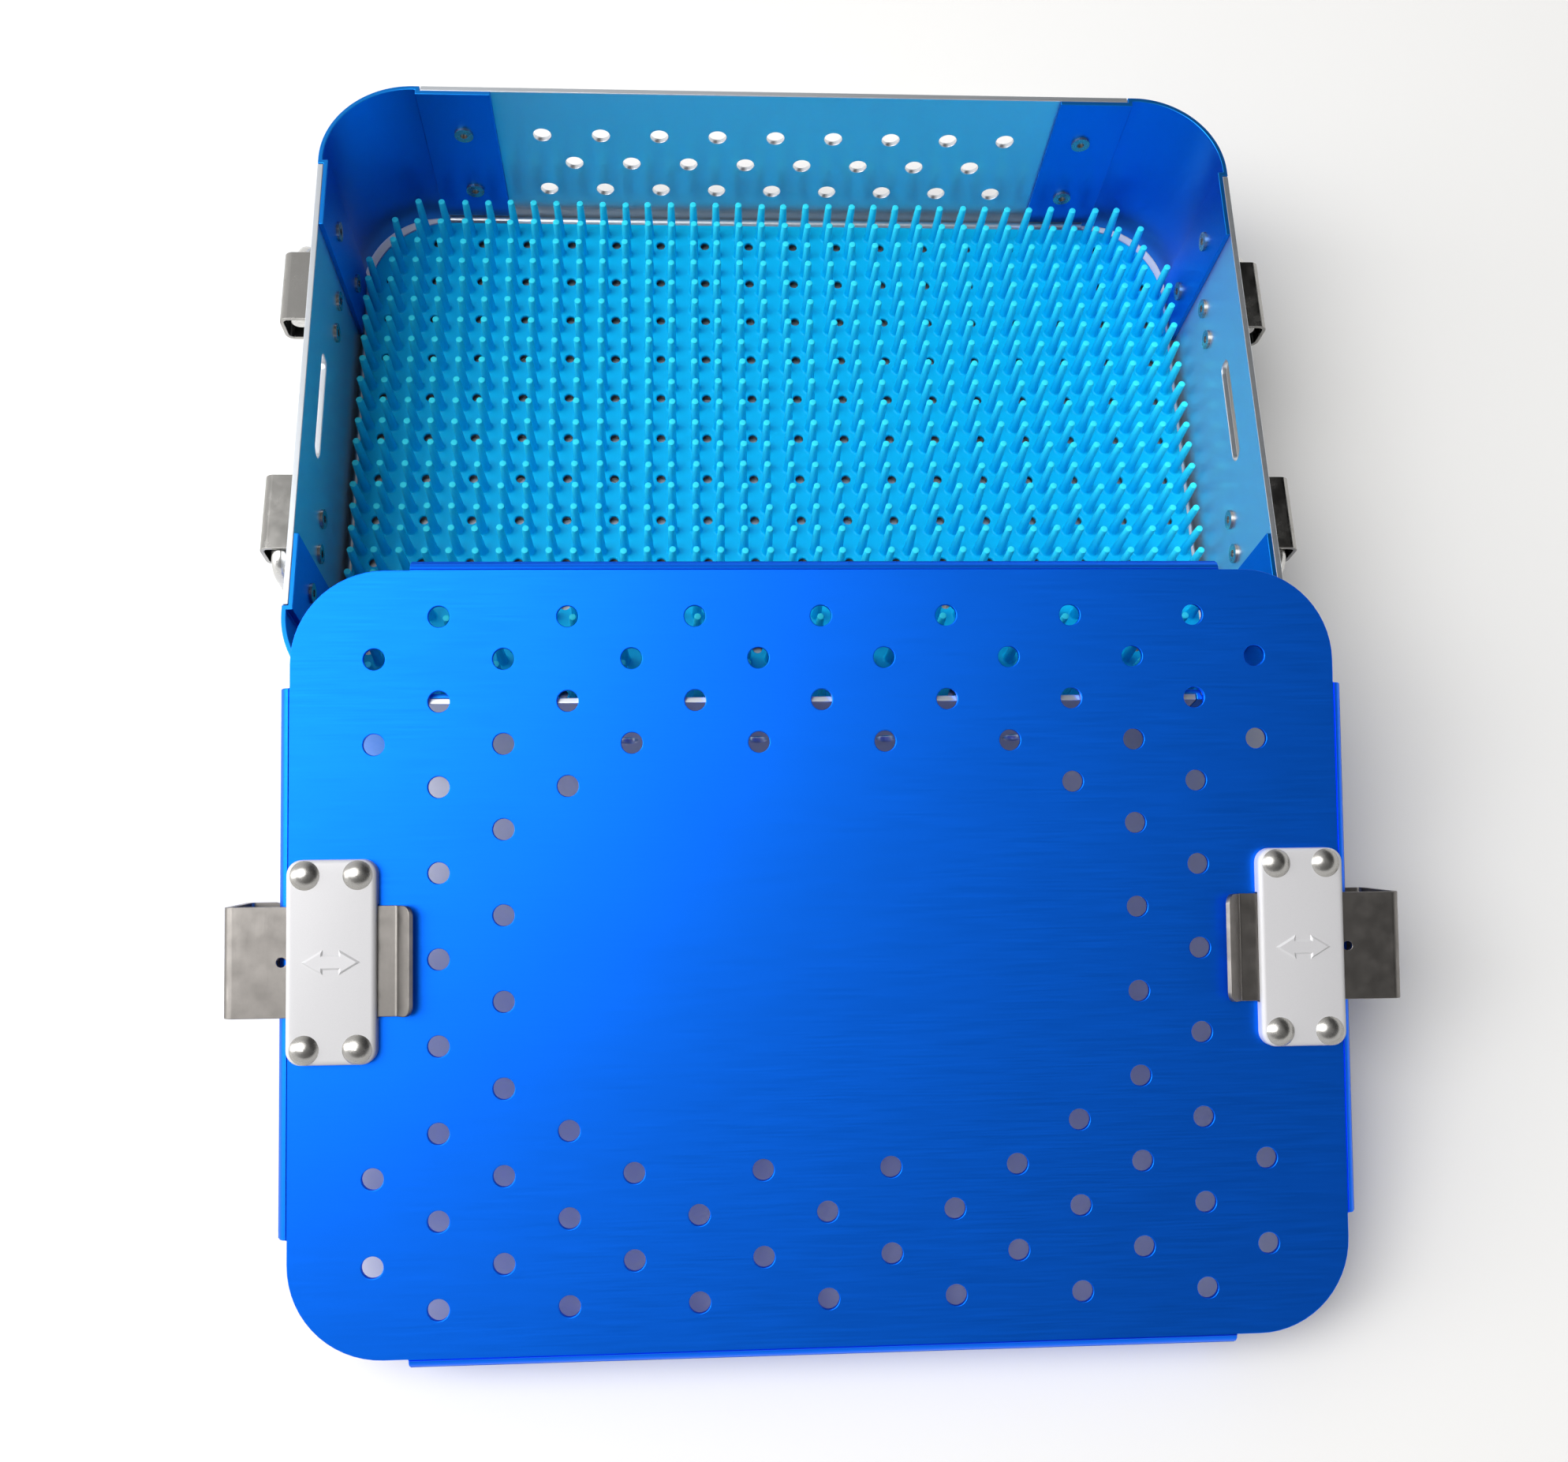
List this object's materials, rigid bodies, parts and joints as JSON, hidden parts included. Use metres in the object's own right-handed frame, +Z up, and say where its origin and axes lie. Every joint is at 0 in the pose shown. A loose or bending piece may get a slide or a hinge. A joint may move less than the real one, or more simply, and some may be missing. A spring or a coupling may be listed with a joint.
{
  "type": "dental instrument cassette",
  "caption": "Perforated blue and silver sterilisation tray with a silicone finger mat, drop handles and a lift-off lid with two slide latches, leaning open.",
  "frame": {"origin": "centre of the tray's underside", "axes": "+X to the right between the two handles, +Y to the back, away from the leaning lid, +Z up"},
  "size_m": [0.278, 0.3254, 0.0658],
  "materials": {
    "tray_sheet": "satin",
    "corner_blue": "blue anodised, satin",
    "lid_blue": "blue anodised, satin",
    "silicone": "matt silicone",
    "handle_wire": "polished stainless wire",
    "bracket_steel": "stainless sheet",
    "latch_steel": "stainless sheet",
    "latch_cover": "clear anodised, satin",
    "rivets": "polished steel"
  },
  "bodies": {
    "tray": {"tray_pan": "tray_sheet", "silicone_mat": "silicone", "mat_fingers": "silicone", "front_left_corner": "corner_blue", "front_right_corner": "corner_blue", "back_left_corner": "corner_blue", "back_right_corner": "corner_blue", "front_left_rivets": "rivets", "front_right_rivets": "rivets", "back_left_rivets": "rivets", "back_right_rivets": "rivets", "left_front_bracket": "bracket_steel", "left_back_bracket": "bracket_steel", "right_front_bracket": "bracket_steel", "right_back_bracket": "bracket_steel", "left_bracket_rivets": "rivets", "right_bracket_rivets": "rivets"},
    "lid": {"lid_plate": "lid_blue", "left_latch_cover": "latch_cover", "right_latch_cover": "latch_cover", "left_latch_rivets": "rivets", "right_latch_rivets": "rivets"},
    "left_latch": {"left_latch_slide": "latch_steel"},
    "right_latch": {"right_latch_slide": "latch_steel"},
    "left_bail": {"left_handle": "handle_wire"},
    "right_bail": {"right_handle": "handle_wire"}
  },
  "joints": [
    {"name": "lid_lift", "type": "slide", "parent": "tray", "child": "lid", "axis": [0, 0, 1], "range_m": [0, 0.12]},
    {"name": "left_latch_travel", "type": "slide", "parent": "lid", "child": "left_latch", "axis": [1, 0, 0], "range_m": [-0.0032, 0.0108]},
    {"name": "right_latch_travel", "type": "slide", "parent": "lid", "child": "right_latch", "axis": [-1, 0, 0], "range_m": [-0.0032, 0.0108]},
    {"name": "left_handle_swing", "type": "hinge", "parent": "tray", "child": "left_bail", "pos_m": [-0.1277, 0, 0.0416], "axis": [0, 1, 0], "range_deg": [0, 180]},
    {"name": "right_handle_swing", "type": "hinge", "parent": "tray", "child": "right_bail", "pos_m": [0.1277, 0, 0.0416], "axis": [0, -1, 0], "range_deg": [0, 180]}
  ]
}
